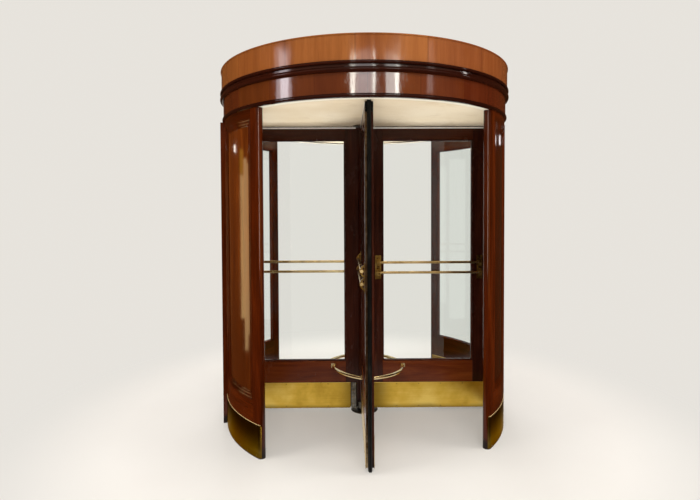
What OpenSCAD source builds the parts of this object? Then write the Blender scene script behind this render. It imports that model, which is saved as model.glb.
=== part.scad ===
// Revolving door: four glazed timber wings that turn in a round timber drum.
// The drum's axis is the Z axis and the floor is Z = 0.
// The lobby lies toward -Y and the street toward +Y.

/* [Drum] */
// Radius of the inner face of the drum walls
drum_r = 992; // [900:1:1200]
// Thickness of the curved drum walls
wall_t = 52; // [44:1:70]
// Height of the drum walls, up to the header
wall_h = 2203; // [2180:1:2400]
// Half the angle that a mouth of the drum opens
mouth_half = 44.5; // [38:0.5:46]
// Angle that a nose post takes up beside a mouth
nose_angle = 4.2; // [4:0.2:8]
// Half the angle that a side post takes up
side_half = 9; // [7:0.5:12]
// Angle of the plain stile between a side post and a lobby panel
stile_angle = 6; // [2:0.5:12]
// Distance from the axis to the flat outer face of a side post
side_x = 1060; // [1050:1:1100]
// Depth of the panels sunk in the lobby walls
panel_depth = 16; // [15:1:20]
// Width of the moulding round a sunk panel
moulding_w = 44; // [36:1:60]
// Height of the top edge of the street walls' bottom rail
sill_h = 390; // [300:5:600]
// Height of the bottom edge of the street walls' top rail
street_top = 2100; // [2000:5:2140]
// Thickness of the curved glass
curved_glass_t = 8; // [6:1:12]
// Width of the beads that hold the glass
bead_w = 10; // [8:1:14]
// Free space left between neighbouring pieces of the drum
seam = 0.2; // [0.1:0.1:1]

/* [Header] */
// Height of the bead under the header
bead_h = 24; // [16:1:32]
// Height of the lower frieze
lower_frieze_h = 118; // [80:1:160]
// Height of the middle moulding
middle_h = 65; // [56:1:80]
// Height of the upper frieze
upper_frieze_h = 150; // [100:1:240]
// How far the lower frieze stands out from the drum walls
frieze_out = 6; // [4:1:14]
// How far the upper frieze stands out from the lower one
upper_out = 12; // [0:1:14]
// Height of the underside of the ceiling
ceiling_z = 2212; // [2210:1:2230]
// Thickness of the ceiling board
ceiling_t = 20; // [12:1:30]

/* [Wings] */
// Angle that the wings stand turned at rest
wing_turn = -4.1; // [-10:0.1:10]
// Distance from the axis to the tip of a wing's rubber
wing_r = 984; // [890:1:985]
// Thickness of a wing's frame
wing_t = 50; // [38:1:54]
// Height of a wing's bottom rail above the floor
wing_bottom = 30; // [28:1:40]
// Height of the top of a wing's frame
wing_top = 2200; // [2120:1:2201]
// Distance from the axis to the near edge of the glass
glass_in = 144; // [130:1:180]
// Distance from the axis to the far edge of the glass
glass_out = 845; // [780:1:860]
// Height of the lower edge of the glass
glass_bottom = 386; // [370:1:500]
// Height of the upper edge of the glass
glass_top = 2105; // [1900:1:2110]
// Thickness of the flat glass
glass_t = 6; // [5:1:10]
// Width of the rubber left outside the frame
rubber_out = 30; // [20:1:36]
// Height of the brass kick plates
kick_h = 220; // [150:1:300]
// Thickness of the brass kick plates
kick_t = 2; // [1.5:0.5:3]

/* [Push bars and braces] */
// Height of the upper push bar
bar_z = 1158; // [1000:1:1300]
// Distance between the two push bars
bar_gap = 78; // [70:1:100]
// How much higher the bars of the lobby and street wings are
bar_lift = 40; // [0:1:80]
// Diameter of a push bar
bar_d = 20; // [16:1:26]
// Distance from the wing's face to the outside of a bar
bar_out = 30; // [26:1:60]
// Radius of the ring that the braces follow
brace_r = 300; // [260:1:340]
// Distance from the axis at which the flatter brace leaves the left wing
flat_brace_r = 242; // [220:1:280]
// Height of the braces
brace_z = 345; // [300:1:352]
// Diameter of a brace
brace_d = 24; // [16:1:30]

/* [Post and pivots] */
// Radius of the centre post
post_r = 50; // [40:1:52]
// Radius of the pivot plate on the floor
plate_r = 105; // [90:1:112]
// Radius of the pins that the post turns on
pin_r = 15; // [12:0.5:18]
// Free space round a pin
pin_gap = 0.1; // [0.05:0.05:0.5]

/* [Hidden] */
$fn = 96;
wall_r = drum_r + wall_t;
frieze_r = wall_r + frieze_out;
upper_r = frieze_r + upper_out;
bead_z = wall_h + seam;
lower_z = wall_h + bead_h;
middle_z = lower_z + lower_frieze_h;
upper_z = middle_z + middle_h;
header_z = wall_h + bead_h + lower_frieze_h + middle_h + upper_frieze_h;
deck_t = 25;
// Azimuths of the right-hand side, counted from +X: negative is the lobby
wall_end = 90 - mouth_half;
nose_round = wall_t / 2;
nose_mid_r = drum_r + nose_round;
nose_round_angle = nose_round / nose_mid_r * 180 / PI;
nose_flat = wall_end - nose_round_angle;
panel_end = wall_end - nose_angle;
panel_z0 = 362;
panel_z1 = wall_h - 62;
outer_kick_h = 218;
inner_kick_h = 210;
// Half a seam between two pieces side by side, as an angle
seam_angle = seam / 2 / drum_r * 180 / PI;
// Wing frame
frame_r = wing_r - rubber_out;
face = wing_t / 2;
plate_t = 8;
foot_z = plate_t + 10;
foot_top = foot_z + 52;
foot_r = post_r + 8;
strap_in = foot_r + 2;
strap_w = 44;
strap_t = 3;
bar_zs = [bar_z, bar_z - bar_gap];
bar_y = face + bar_out - bar_d / 2;
bracket_in = 110;
bracket_out = 897;
bracket_w = 46;
bracket_h = 184;
bracket_t = 4;
arch_w = 22;
arch_t = 9;

// A curved slab between two radii, two azimuths and two heights
module arc_slab(r0, r1, a0, a1, z0, z1) {
    rotate([0, 0, a0])
        rotate_extrude(angle = a1 - a0, $fn = 180)
            translate([r0, z0])
                square([r1 - r0, z1 - z0]);
}

// The children on the right and, mirrored, on the left
module both_sides() {
    children();
    mirror([1, 0, 0]) children();
}

// The children, made for the lobby side, and again for the street side
module lobby_and_street() {
    children();
    mirror([0, 1, 0]) children();
}

// A ring turned from a profile whose X is the radius and Y the height
module ring() {
    rotate_extrude($fn = 180) children();
}

module disc(r, z0, z1) {
    translate([0, 0, z0]) cylinder(r = r, h = z1 - z0, $fn = 180);
}

// Fixed drum

module lobby_wall() {
    a0 = -panel_end + seam_angle;
    a1 = -side_half - seam_angle;
    color([0.36, 0.14, 0.07])
        difference() {
            arc_slab(drum_r, wall_r, a0, a1, 0, wall_h);
            arc_slab(
                wall_r - panel_depth, wall_r + 5,
                a0 - 1, a1 - stile_angle, panel_z0, panel_z1
            );
            arc_slab(
                drum_r - 5, drum_r + panel_depth / 2,
                a0 - 1, a1 - stile_angle, panel_z0, panel_z1
            );
        }
}

// The section of a panel moulding: three rounded steps down to the panel, X out
// from the panel and Y away from the moulding's outer edge
module moulding_section() {
    step = panel_depth / 3;
    first = moulding_w * 0.32;
    second = moulding_w * 0.70;
    square([3 * step - 2, first - 3]);
    translate([3 * step - 4, first - 6]) circle(r = 5, $fn = 48);
    square([2 * step - 2, second - 3]);
    translate([2 * step - 4, second - 5.5]) circle(r = 4.5, $fn = 48);
    square([step - 1, moulding_w - 2]);
    translate([step - 2, moulding_w - 4]) circle(r = 3, $fn = 48);
}

// Half of a corner's square, cut away to leave a mitre: X and Y run along the outer
// edges from the corner, and the half lies beside Y, or beside X with swap 1
module mitre_half(w, swap) {
    rotate([90, 0, 90])
        linear_extrude(120, center = true)
            if (swap == 0)
                polygon([[-5, -5], [seam / 2 - 5, -5], [w + 5 + seam / 2, w + 5], [-5, w + 5]]);
            else
                polygon([[-5, -5], [w + 5, -5], [w + 5, w + 5 + seam / 2], [-5, seam / 2 - 5]]);
}

module at_corner(r, a, z, far, top) {
    rotate([0, 0, a])
        translate([r, 0, z])
            mirror([0, far, 0]) mirror([0, 0, top])
                children();
}

// Two rails and two uprights of one section, mitred round an opening in a curved
// wall; X of the section is the radius from r, and Y is away from the outer edge
module curved_frame(r, a0, a1, z0, z1, w) {
    for (top = [0, 1]) {
        z = top == 0 ? z0 : z1;
        difference() {
            rotate([0, 0, a0])
                rotate_extrude(angle = a1 - a0, $fn = 180)
                    translate([r, z]) mirror([0, top]) children();
            at_corner(r, a0, z, 0, top) mitre_half(w, 0);
            at_corner(r, a1, z, 1, top) mitre_half(w, 0);
        }
    }
    for (far = [0, 1]) {
        a = far == 0 ? a0 : a1;
        difference() {
            rotate([0, 0, a])
                translate([r, 0, z0])
                    linear_extrude(z1 - z0)
                        mirror([0, far]) children();
            at_corner(r, a, z0, far, 0) mitre_half(w, 1);
            at_corner(r, a, z1, far, 1) mitre_half(w, 1);
        }
    }
}

module panel_moulding() {
    curved_frame(
        wall_r - panel_depth + seam, -panel_end + 3 * seam_angle,
        -side_half - 3 * seam_angle - stile_angle, panel_z0 + seam, panel_z1 - seam, moulding_w
    ) moulding_section();
}

module panel_mouldings() {
    color([0.24, 0.09, 0.05])
        both_sides() panel_moulding();
}

// A post whose free end is fully rounded
module nose_post() {
    arc_slab(drum_r, wall_r, -nose_flat, -panel_end - seam_angle, 0, wall_h);
    rotate([0, 0, -nose_flat])
        translate([nose_mid_r, 0, 0])
            cylinder(r = nose_round, h = wall_h);
}

module nose_posts() {
    color([0.34, 0.12, 0.06])
        both_sides()
            lobby_and_street() nose_post();
}

// A post with a flat outer face, where the wall of the building meets the drum
module side_post() {
    intersection() {
        arc_slab(
            drum_r, side_x * 1.05,
            -side_half + seam_angle, side_half - seam_angle, 0, wall_h
        );
        translate([0, -side_x, -1]) cube([side_x, 2 * side_x, wall_h + 2]);
    }
}

module side_posts() {
    color([0.32, 0.12, 0.06])
        both_sides() side_post();
}

module street_rails() {
    a0 = side_half + seam_angle;
    a1 = panel_end - seam_angle;
    color([0.32, 0.12, 0.06])
        both_sides() {
            arc_slab(drum_r, wall_r, a0, a1, 0, sill_h);
            arc_slab(drum_r, wall_r, a0, a1, street_top, wall_h);
        }
}

module street_glass() {
    r = drum_r + (wall_t - curved_glass_t) / 2;
    color([0.75, 0.85, 0.85, 0.4])
        both_sides()
            arc_slab(
                r, r + curved_glass_t,
                side_half + seam_angle, panel_end - seam_angle,
                sill_h + seam / 2, street_top - seam / 2
            );
}

// The section of a glazing bead: X from the frame's edge, Y up from the glass
module bead_section(height) {
    square([bead_w, height - bead_w]);
    translate([0, height - bead_w])
        intersection() {
            circle(r = bead_w, $fn = 48);
            square([bead_w, bead_w]);
        }
}

// The beads on the outer face of a curved pane, or with way -1 on the inner one
module curved_beads(way) {
    height = (wall_t - curved_glass_t) / 2 - 4;
    curved_frame(
        drum_r + wall_t / 2 + way * (curved_glass_t / 2 + seam),
        side_half + 3 * seam_angle, panel_end - 3 * seam_angle,
        sill_h + seam, street_top - seam, bead_w
    )
        mirror([way < 0 ? 1 : 0, 0])
            rotate(90) mirror([0, 1]) bead_section(height);
}

module street_glazing_beads() {
    color([0.30, 0.11, 0.06])
        both_sides() {
            curved_beads(1);
            curved_beads(-1);
        }
}

module outer_kick_plates() {
    r = wall_r + seam;
    color([0.66, 0.50, 0.20])
        both_sides()
            lobby_and_street()
                arc_slab(r, r + kick_t, -nose_flat, -side_half - 0.2, 6, outer_kick_h);
}

module inner_kick_plates() {
    r = drum_r - seam;
    color([0.66, 0.50, 0.20])
        both_sides()
            arc_slab(r - kick_t, r, -nose_flat, nose_flat, 6, inner_kick_h);
}

// Header rings, from the bottom up

module header_bead() {
    half = bead_h / 2;
    color([0.26, 0.10, 0.05])
        ring() {
            translate([drum_r, bead_z]) square([frieze_r - drum_r, lower_z - bead_z]);
            translate([frieze_r - 3, wall_h + half]) circle(r = half - seam, $fn = 48);
        }
}

module lower_frieze() {
    color([0.42, 0.17, 0.08])
        ring()
            translate([drum_r, lower_z])
                square([frieze_r - drum_r, lower_frieze_h]);
}

module middle_moulding() {
    color([0.20, 0.08, 0.05])
        ring() {
            translate([drum_r, middle_z]) square([frieze_r + 6 - drum_r, middle_h]);
            translate([frieze_r + 9, middle_z + 14]) circle(r = 13.5, $fn = 48);
            translate([frieze_r, middle_z + 28]) square([13, 8]);
            translate([drum_r, middle_z + middle_h - 20]) square([upper_r - drum_r, 20]);
            translate([upper_r, middle_z + middle_h - 10]) circle(r = 9.5, $fn = 48);
        }
}

module upper_frieze() {
    color([0.50, 0.22, 0.10])
        ring() {
            translate([drum_r, upper_z])
                square([upper_r - drum_r, upper_frieze_h]);
            translate([upper_r, header_z - 5]) circle(r = 5, $fn = 48);
        }
}

module ceiling() {
    color([0.90, 0.84, 0.72])
        difference() {
            disc(drum_r, ceiling_z, ceiling_z + ceiling_t);
            disc(60, ceiling_z - 1, ceiling_z + ceiling_t + 1);
        }
}

module roof_deck() {
    color([0.42, 0.26, 0.16])
        disc(drum_r, header_z - deck_t, header_z);
}

// The bearing hangs from the roof deck and comes down through the ceiling
module top_bearing() {
    color([0.45, 0.42, 0.36])
        difference() {
            union() {
                disc(60, ceiling_z - 6, header_z - deck_t);
                disc(84, ceiling_z - 6, ceiling_z);
            }
            disc(pin_r + pin_gap, ceiling_z - 7, ceiling_z + 60);
        }
}

module floor_pivot() {
    color([0.42, 0.42, 0.38])
        union() {
            ring() {
                square([plate_r - plate_t, plate_t]);
                intersection() {
                    translate([plate_r - plate_t, 0]) circle(r = plate_t, $fn = 48);
                    square([plate_r, plate_t]);
                }
            }
            disc(foot_r - 4, 0, plate_t + 4);
            disc(pin_r, 0, foot_z + 32);
        }
}

// Turning wings

module centre_post() {
    color([0.22, 0.09, 0.06])
        difference() {
            union() {
                disc(post_r, foot_z + 6, wing_top);
                disc(pin_r, wing_top - 1, ceiling_z + 50);
            }
            disc(pin_r + pin_gap, foot_z, foot_z + 38);
        }
}

module post_foot() {
    color([0.42, 0.42, 0.38])
        difference() {
            disc(foot_r, foot_z, foot_top);
            disc(post_r, foot_z + 6, foot_top + 1);
            disc(pin_r + pin_gap, foot_z - 1, foot_z + 7);
        }
}

// The block that holds an end of a brace, with chamfered edges
module brace_block() {
    w = brace_d * 1.5;
    translate([0, 0, -6])
        linear_extrude(33)
            polygon([[-w / 2, 0], [w / 2, 0], [w / 2, 6], [w / 2 - 3, 9], [3 - w / 2, 9], [-w / 2, 6]]);
}

// A brace bends from the face of one wing, r0 from the axis, to the next one, r1
// from it; the bend's centre is the axis where r0, r1 and bend_r are alike
module brace(r0, r1, bend_r) {
    from = [r0, face + 2];
    to = [face + 2, r1];
    spare = 2;
    chord = norm(to - from);
    outward = [to[1] - from[1], from[0] - to[0]] / chord;
    centre = (from + to) / 2 - outward * sqrt(bend_r * bend_r - chord * chord / 4);
    a0 = atan2(from[1] - centre[1], from[0] - centre[0]);
    a1 = atan2(to[1] - centre[1], to[0] - centre[0]);
    intersection() {
        translate(centre)
            rotate([0, 0, a0 - spare])
                rotate_extrude(angle = a1 - a0 + 2 * spare, $fn = 180)
                    translate([bend_r, brace_z])
                        circle(r = brace_d / 2, $fn = 48);
        translate([face + 1, face + 1, brace_z - brace_d])
            cube([2 * r0, 2 * r1, 2 * brace_d]);
    }
    translate([r0, face, brace_z]) brace_block();
    translate([face, r1, brace_z])
        mirror([1, 0, 0]) rotate([0, 0, 90]) brace_block();
}

module braces() {
    color([0.72, 0.56, 0.26]) {
        for (i = [0, 1, 3])
            rotate([0, 0, wing_turn + 90 * i])
                brace(brace_r, brace_r, brace_r);
        rotate([0, 0, wing_turn + 180])
            brace(flat_brace_r, brace_r - 4, 400);
    }
}

// A strap with a round knuckle on the leading face of each wing
module hinge_straps() {
    color([0.45, 0.42, 0.34])
        for (i = [0:3])
            rotate([0, 0, wing_turn + 90 * i])
                translate([strap_in, face, wing_bottom - 6])
                    linear_extrude(kick_h - wing_bottom + 6) {
                        square([strap_w, strap_t]);
                        intersection() {
                            translate([8, 2]) circle(r = 8, $fn = 48);
                            square([16, 12]);
                        }
                    }
}

// The pieces of a wing are made along +X and turned to their places

module stiles() {
    color([0.24, 0.08, 0.06])
        difference() {
            union() {
                translate([0, -face, wing_bottom])
                    cube([glass_in, wing_t, wing_top - wing_bottom]);
                translate([glass_out, -face, wing_bottom])
                    cube([frame_r - glass_out, wing_t, wing_top - wing_bottom]);
            }
            disc(post_r, 0, wing_top + 10);
            disc(foot_r, 0, foot_top);
            translate([-200, -100, 0]) cube([200, 200, wing_top + 10]);
        }
}

module rail(z0, z1) {
    translate([glass_in, -face, z0])
        cube([glass_out - glass_in, wing_t, z1 - z0]);
}

module rails() {
    color([0.26, 0.09, 0.06]) {
        rail(wing_bottom, glass_bottom);
        rail(glass_top, wing_top);
    }
}

module glass() {
    color([0.75, 0.85, 0.85, 0.4])
        translate([glass_in, -glass_t / 2, glass_bottom])
            cube([glass_out - glass_in, glass_t, glass_top - glass_bottom]);
}

// The beads round one face of a wing's glass
module flat_beads() {
    height = face - 5 - glass_t / 2;
    wide = glass_out - glass_in - 2 * seam;
    high = glass_top - glass_bottom - 2 * seam;
    translate([glass_in + seam, glass_t / 2 + seam, glass_bottom + seam]) {
        linear_extrude(high) bead_section(height);
        translate([wide, 0, 0])
            mirror([1, 0, 0]) linear_extrude(high) bead_section(height);
        translate([wide, 0, 0])
            rotate([0, -90, 0]) linear_extrude(wide) bead_section(height);
        translate([wide, 0, high])
            mirror([0, 0, 1]) rotate([0, -90, 0]) linear_extrude(wide) bead_section(height);
    }
}

module wing_glazing_beads() {
    color([0.22, 0.08, 0.05])
        for (i = [0:3])
            rotate([0, 0, wing_turn + 90 * i]) {
                flat_beads();
                mirror([0, 1, 0]) flat_beads();
            }
}

// One plate on each face; the leading one begins beyond the strap
module kick_plates() {
    color([0.66, 0.50, 0.20]) {
        kick_plate(strap_in + strap_w + 4);
        mirror([0, 1, 0]) kick_plate(foot_r + 12);
    }
}

module kick_plate(start) {
    translate([start, face, wing_bottom - 10])
        cube([frame_r - 6 - start, kick_t, kick_h - wing_bottom + 10]);
}

module push_bars() {
    color([0.72, 0.56, 0.26])
        for (z = bar_zs)
            translate([bracket_in - arch_w / 2 - 2, -bar_y, z])
                rotate([0, 90, 0])
                    cylinder(d = bar_d, h = bracket_out - bracket_in + arch_w + 4, $fn = 48);
}

// A plate with two arched straps that close round the ends of the bars
module bracket(x) {
    arch_half = bar_gap / 2;
    arch_r = (arch_half * arch_half + bar_out * bar_out) / (2 * bar_out);
    mid_z = (bar_zs[0] + bar_zs[1]) / 2;
    difference() {
        union() {
            translate([x - bracket_w / 2, -face - bracket_t, mid_z - bracket_h / 2])
                cube([bracket_w, bracket_t, bracket_h]);
            for (z = bar_zs)
                translate([x - arch_w / 2, -face - bar_out + arch_r, z])
                    rotate([0, 90, 0])
                        linear_extrude(arch_w)
                            difference() {
                                circle(r = arch_r);
                                circle(r = arch_r - arch_t);
                                translate([-100, -arch_r + bar_out - 1]) square([200, 200]);
                            }
            for (z = bar_zs)
                translate([x - arch_w / 2, -bar_y, z])
                    rotate([0, 90, 0])
                        cylinder(d = bar_d + 8, h = arch_w, $fn = 48);
        }
        for (z = bar_zs)
            translate([x - bracket_w, -bar_y, z])
                rotate([0, 90, 0])
                    cylinder(d = bar_d, h = 2 * bracket_w, $fn = 48);
    }
}

module bar_brackets() {
    color([0.66, 0.50, 0.22]) {
        bracket(bracket_in);
        bracket(bracket_out);
    }
}

// Rubber on the outer edge, and brushes along the top and the bottom
module sweeps() {
    base = 26;
    tip = 16;
    brush_t = 12;
    color([0.06, 0.06, 0.06]) {
        translate([0, 0, wing_bottom - 14])
            linear_extrude(wing_top - wing_bottom + 14)
                polygon([
                    [frame_r, -base / 2], [frame_r + 14, -base / 2],
                    [wing_r, -tip / 2], [wing_r, tip / 2],
                    [frame_r + 14, base / 2], [frame_r, base / 2]
                ]);
        translate([plate_r + 13, -brush_t / 2, 9])
            cube([frame_r - 12 - plate_r - 13, brush_t, wing_bottom - 9]);
        translate([foot_r + 30, -brush_t / 2, wing_top])
            cube([frame_r - 12 - foot_r - 30, brush_t, ceiling_z - wing_top - 7]);
    }
}

// The children, turned from +X to the wing with this number
module at_wing(i) {
    rotate([0, 0, wing_turn - 90 + 90 * i]) children();
}

// The children, raised as the bars of the lobby and street wings are
module lift() {
    translate([0, 0, bar_lift]) children();
}

mirror([1, 0, 0]) lobby_wall();  // lobby_wall_left
lobby_wall();  // lobby_wall_right
panel_mouldings();
nose_posts();
side_posts();
street_rails();
street_glass();
street_glazing_beads();
outer_kick_plates();
inner_kick_plates();
header_bead();
lower_frieze();
middle_moulding();
upper_frieze();
ceiling();
roof_deck();
top_bearing();
floor_pivot();
centre_post();
post_foot();
braces();
hinge_straps();
wing_glazing_beads();
at_wing(0) stiles();  // lobby_wing_stiles
at_wing(0) rails();  // lobby_wing_rails
at_wing(0) glass();  // lobby_wing_glass
at_wing(0) kick_plates();  // lobby_wing_kick_plates
at_wing(0) lift() push_bars();  // lobby_wing_push_bars
at_wing(0) lift() bar_brackets();  // lobby_wing_bar_brackets
at_wing(0) sweeps();  // lobby_wing_sweeps
at_wing(1) stiles();  // right_wing_stiles
at_wing(1) rails();  // right_wing_rails
at_wing(1) glass();  // right_wing_glass
at_wing(1) kick_plates();  // right_wing_kick_plates
at_wing(1) push_bars();  // right_wing_push_bars
at_wing(1) bar_brackets();  // right_wing_bar_brackets
at_wing(1) sweeps();  // right_wing_sweeps
at_wing(2) stiles();  // street_wing_stiles
at_wing(2) rails();  // street_wing_rails
at_wing(2) glass();  // street_wing_glass
at_wing(2) kick_plates();  // street_wing_kick_plates
at_wing(2) lift() push_bars();  // street_wing_push_bars
at_wing(2) lift() bar_brackets();  // street_wing_bar_brackets
at_wing(2) sweeps();  // street_wing_sweeps
at_wing(3) stiles();  // left_wing_stiles
at_wing(3) rails();  // left_wing_rails
at_wing(3) glass();  // left_wing_glass
at_wing(3) kick_plates();  // left_wing_kick_plates
at_wing(3) push_bars();  // left_wing_push_bars
at_wing(3) bar_brackets();  // left_wing_bar_brackets
at_wing(3) sweeps();  // left_wing_sweeps
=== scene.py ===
import math
import bmesh
import bpy
from mathutils import Matrix, Vector


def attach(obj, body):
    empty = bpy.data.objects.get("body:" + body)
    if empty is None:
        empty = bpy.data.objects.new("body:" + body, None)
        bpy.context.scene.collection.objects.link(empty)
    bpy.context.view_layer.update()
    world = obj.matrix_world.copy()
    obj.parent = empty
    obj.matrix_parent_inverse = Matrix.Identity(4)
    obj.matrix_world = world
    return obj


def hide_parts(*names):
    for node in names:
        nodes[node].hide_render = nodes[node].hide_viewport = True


# Revolving door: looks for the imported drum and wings

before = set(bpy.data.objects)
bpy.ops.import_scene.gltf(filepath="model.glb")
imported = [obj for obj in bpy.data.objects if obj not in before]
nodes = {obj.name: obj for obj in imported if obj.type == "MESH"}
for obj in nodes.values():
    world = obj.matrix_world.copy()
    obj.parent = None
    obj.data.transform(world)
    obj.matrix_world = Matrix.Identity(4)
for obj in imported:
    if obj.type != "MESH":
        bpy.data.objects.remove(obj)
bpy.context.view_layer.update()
scene = bpy.context.scene
scene.view_settings.view_transform = "Standard"
print("frame loaded:", len(nodes), "nodes")

# Sizes that several pieces share, in metres and degrees
door = {
    "wallRadius": 1.044, "wallMiddle": 1.018, "noseRadius": 0.026, "noseStart": 44.04,
    "wingTurn": -4.1, "wingFace": 0.025, "frameEdge": 0.954, "wingTip": 0.984,
    "wingBottom": 0.030, "wingTop": 2.200,
}
wingNames = ["lobby", "right", "street", "left"]
wingPlaces = [Matrix.Rotation(math.radians(door["wingTurn"] - 90 + 90 * i), 4, "Z") for i in range(4)]


def srgb(red, green, blue):
    def toLinear(c):
        c = c / 255
        return c / 12.92 if c <= 0.04045 else ((c + 0.055) / 1.055) ** 2.4
    return (toLinear(red), toLinear(green), toLinear(blue), 1.0)


def addNode(tree, kind, inputs=None, **settings):
    made = tree.nodes.new(kind)
    for key, value in settings.items():
        setattr(made, key, value)
    for key, value in (inputs or {}).items():
        if isinstance(value, bpy.types.NodeSocket):
            tree.links.new(value, made.inputs[key])
        else:
            made.inputs[key].default_value = value
    return made


def calc(tree, operation, a, b=0.0, clamp=False):
    return addNode(tree, "ShaderNodeMath", {0: a, 1: b}, operation=operation, use_clamp=clamp).outputs[0]


def plus(tree, a, b, clamp=False):
    return calc(tree, "ADD", a, b, clamp)


def times(tree, a, b):
    return calc(tree, "MULTIPLY", a, b)


def addVectors(tree, a, b):
    return addNode(tree, "ShaderNodeVectorMath", {0: a, 1: b}, operation="ADD").outputs[0]


def fade(tree, value, low, high):  # 0 at low, 1 at high
    return addNode(
        tree, "ShaderNodeMapRange", {"Value": value, "From Min": low, "From Max": high},
        interpolation_type="SMOOTHSTEP",
    ).outputs[0]


def blend(tree, factor, a, b):
    return addNode(tree, "ShaderNodeMix", {0: factor, 6: a, 7: b}, data_type="RGBA").outputs[2]


def tinge(tree, colour, where, share, other):  # turned toward another colour, by this share at most
    return blend(tree, times(tree, where, share), colour, other)


def cloud(tree, vector, scale, detail=2.0, rough=0.5, distortion=0.0):
    return addNode(
        tree, "ShaderNodeTexNoise",
        {"Vector": vector, "Scale": scale, "Detail": detail, "Roughness": rough, "Distortion": distortion},
    ).outputs[0]


def retone(tree, colour, hue, saturation, value):
    return addNode(
        tree, "ShaderNodeHueSaturation",
        {"Hue": hue, "Saturation": saturation, "Value": value, "Color": colour},
    ).outputs[0]


def stretch(tree, vector, scale, turn=0.0, shift=(0, 0, 0)):
    return addNode(
        tree, "ShaderNodeMapping",
        {"Vector": vector, "Scale": scale, "Rotation": (0, 0, math.radians(turn)), "Location": shift},
    ).outputs[0]


def joints(tree, part, edges):  # 1 at both ends of each leaf or board, 0 between
    outside, inside = edges
    starts, ends = fade(tree, part, outside, inside), fade(tree, part, 1 - outside, 1 - inside)
    return plus(tree, starts, ends, clamp=True)


def colourSteps(tree, value, steps):
    ramp = addNode(tree, "ShaderNodeValToRGB", {0: value})
    bar = ramp.color_ramp
    while len(bar.elements) < len(steps):
        bar.elements.new(0.5)
    for element, (where, colour) in zip(bar.elements, steps):
        element.position = where
        element.color = colour
    return ramp.outputs[0]


def placeParts(tree):  # object coordinates, their three parts, radius and azimuth
    coords = addNode(tree, "ShaderNodeTexCoord").outputs["Object"]
    x, y, z = addNode(tree, "ShaderNodeSeparateXYZ", {0: coords}).outputs
    radius = calc(tree, "SQRT", plus(tree, times(tree, x, x), times(tree, y, y)))
    azimuth = calc(tree, "ARCTAN2", y, x)
    return {"coords": coords, "x": x, "y": y, "z": z, "radius": radius, "azimuth": azimuth}


def newMaterial(name):
    made = bpy.data.materials.new(name)
    made.use_nodes = True
    tree = made.node_tree
    tree.nodes.clear()
    shader = addNode(tree, "ShaderNodeBsdfPrincipled")
    addNode(tree, "ShaderNodeOutputMaterial", {0: shader.outputs[0]})
    return made, tree, shader


def mixShaders(tree, factor, first, second):  # both, in the place of the material's plain shader
    both = addNode(tree, "ShaderNodeMixShader", {0: factor, 1: first.outputs[0], 2: second.outputs[0]})
    output = [n for n in tree.nodes if n.type == "OUTPUT_MATERIAL"][0]
    tree.links.new(both.outputs[0], output.inputs[0])


def finishMaterial(tree, shader, colour, rough, height=None, bumpDistance=0.0005):
    tree.links.new(colour, shader.inputs["Base Color"])
    tree.links.new(rough, shader.inputs["Roughness"])
    if height is not None:
        bump = addNode(tree, "ShaderNodeBump", {"Height": height, "Distance": bumpDistance, "Strength": 1.0})
        tree.links.new(bump.outputs[0], shader.inputs["Normal"])


# Noises in the timber, with scale, detail, roughness and distortion, and how far they are drawn out along it
grain = {
    "figure": (2.6, 2.0), "bands": (17.0, 3.0, 0.55, 0.9), "streaks": (120.0, 3.0, 0.6, 0.2),
    "pores": (620.0, 1.0), "smears": (7.0, 3.0), "waves": (9.0, 1.0),
    "boardLength": 0.10, "streakLength": 0.035, "smearLength": 0.6, "waveLength": 0.35, "ringRadius": 1.03,
    "poreEdges": (0.60, 0.74), "smearEdges": (0.4, 0.7), "poreRough": 0.05, "poreHeight": -0.05,
    "streakHeight": 0.05, "poreShare": 0.45, "weights": (0.42, 0.20, 0.38), "spread": 0.16,
}
varnishHeight = 0.0006  # metres of the bump in timber


def grainVector(tree, place, look):  # a vector whose third part runs with the grain
    way = look["way"]
    if way == "up":
        return place["coords"]
    if way == "round":
        along = times(tree, place["azimuth"], grain["ringRadius"])
        return addNode(tree, "ShaderNodeCombineXYZ", {0: place["radius"], 1: place["z"], 2: along}).outputs[0]
    turned = stretch(tree, place["coords"], (1, 1, 1), turn=-way)
    x, y, z = addNode(tree, "ShaderNodeSeparateXYZ", {0: turned}).outputs
    return addNode(tree, "ShaderNodeCombineXYZ", {0: y, 1: z, 2: x}).outputs[0]


def timber(tree, place, look):  # colour, roughness and height of a varnished board
    vector, coords = grainVector(tree, place, look), place["coords"]
    boards = stretch(tree, vector, (1, 1, grain["boardLength"]), shift=look.get("shift", (0, 0, 0)))
    fine = stretch(tree, vector, (1, 1, grain["streakLength"]))
    figure = cloud(tree, boards, *grain["figure"])
    bands = cloud(tree, boards, *grain["bands"])
    streaks = cloud(tree, fine, *grain["streaks"])
    pores = fade(tree, cloud(tree, fine, *grain["pores"]), *grain["poreEdges"])
    banded, streaky, figured = look.get("weights", grain["weights"])
    tone = plus(tree, times(tree, bands, banded), times(tree, streaks, streaky))
    tone = plus(tree, tone, times(tree, figure, figured))
    spread = look.get("spread", grain["spread"])
    steps = [(0.5 - spread, look["dark"]), (0.5, look["mid"]), (0.5 + spread, look["light"])]
    colour = colourSteps(tree, tone, steps)
    colour = tinge(tree, colour, pores, look.get("pores", grain["poreShare"]), look["dark"])
    smears = cloud(tree, stretch(tree, coords, (1, 1, grain["smearLength"])), *grain["smears"])
    rough = plus(tree, look["rough"], times(tree, fade(tree, smears, *grain["smearEdges"]), look["smears"]))
    rough = plus(tree, rough, times(tree, pores, grain["poreRough"]))
    waves = cloud(tree, stretch(tree, coords, (1, 1, grain["waveLength"])), *grain["waves"])
    height = plus(tree, times(tree, waves, look["wave"]), times(tree, pores, grain["poreHeight"]))
    height = plus(tree, height, times(tree, streaks, grain["streakHeight"]))
    return colour, rough, height


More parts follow.
